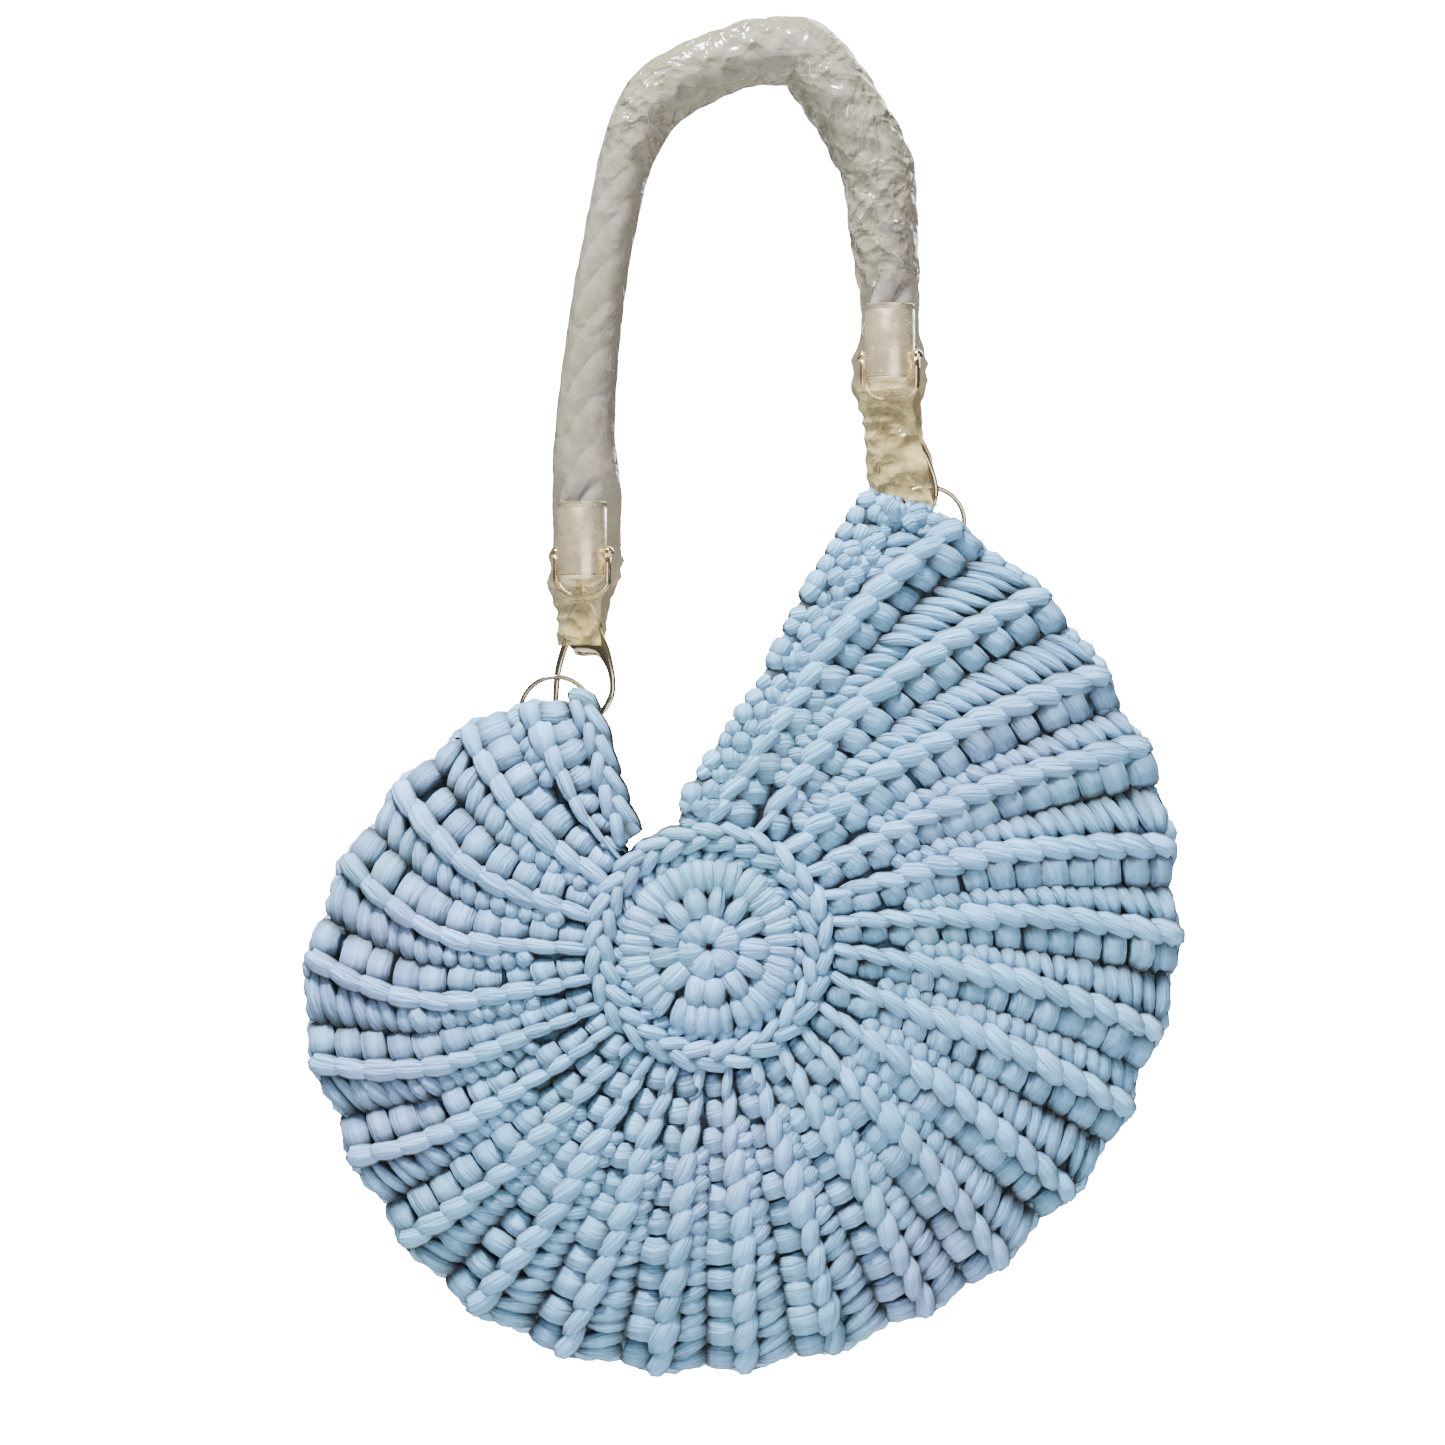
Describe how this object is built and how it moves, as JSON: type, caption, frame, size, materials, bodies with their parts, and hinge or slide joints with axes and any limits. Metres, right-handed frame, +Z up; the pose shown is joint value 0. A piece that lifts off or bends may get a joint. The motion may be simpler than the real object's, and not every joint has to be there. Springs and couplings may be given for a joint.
{
  "type": "crochet shoulder bag",
  "caption": "Round crocheted shoulder bag shaped like a spiral shell, with a V-shaped mouth and a film-wrapped rope handle on two snap hooks.",
  "frame": {"origin": "underside of the wrapped handle at the point where the bag hangs", "axes": "+Z up, +X to the right of the front panel, the front faces -Y"},
  "size_m": [0.3881, 0.0514, 0.6004],
  "materials": {
    "yarn": "matte cotton T-shirt yarn, light sky blue",
    "rope": "matte twisted cotton, pale grey lavender",
    "film": "clear crinkled film",
    "metal": "polished pale gold plating"
  },
  "bodies": {
    "bag": {"front_panel": "yarn", "back_panel": "yarn", "front_rosette": "yarn", "back_rosette": "yarn", "front_ring_braid": "yarn", "back_ring_braid": "yarn", "front_edging_right": "yarn", "front_edging_left": "yarn", "back_edging_right": "yarn", "back_edging_left": "yarn", "yarn_tie_left": "yarn", "yarn_tie_right": "yarn", "o_ring_left": "metal", "hook_left": "metal", "gate_pin_left": "metal", "yoke_left": "metal", "cap_left": "metal", "o_ring_right": "metal", "hook_right": "metal", "gate_pin_right": "metal", "yoke_right": "metal", "cap_right": "metal", "strap_rope": "rope", "strap_film": "film"},
    "gate_left": {"gate_left": "metal"},
    "gate_right": {"gate_right": "metal"}
  },
  "joints": [
    {"name": "gate_left_hinge", "type": "hinge", "parent": "bag", "child": "gate_left", "pos_m": [-0.08721, 0.00545, -0.24296], "axis": [-0.471, -0.8786, 0.0789], "range_deg": [0, 18], "stiffness_Nm_per_rad": 0.02, "springref_deg": -20.05},
    {"name": "gate_right_hinge", "type": "hinge", "parent": "bag", "child": "gate_right", "pos_m": [0.05157, 0.00455, -0.15681], "axis": [-0.4637, -0.8829, -0.0734], "range_deg": [0, 18], "stiffness_Nm_per_rad": 0.02, "springref_deg": -20.05}
  ]
}
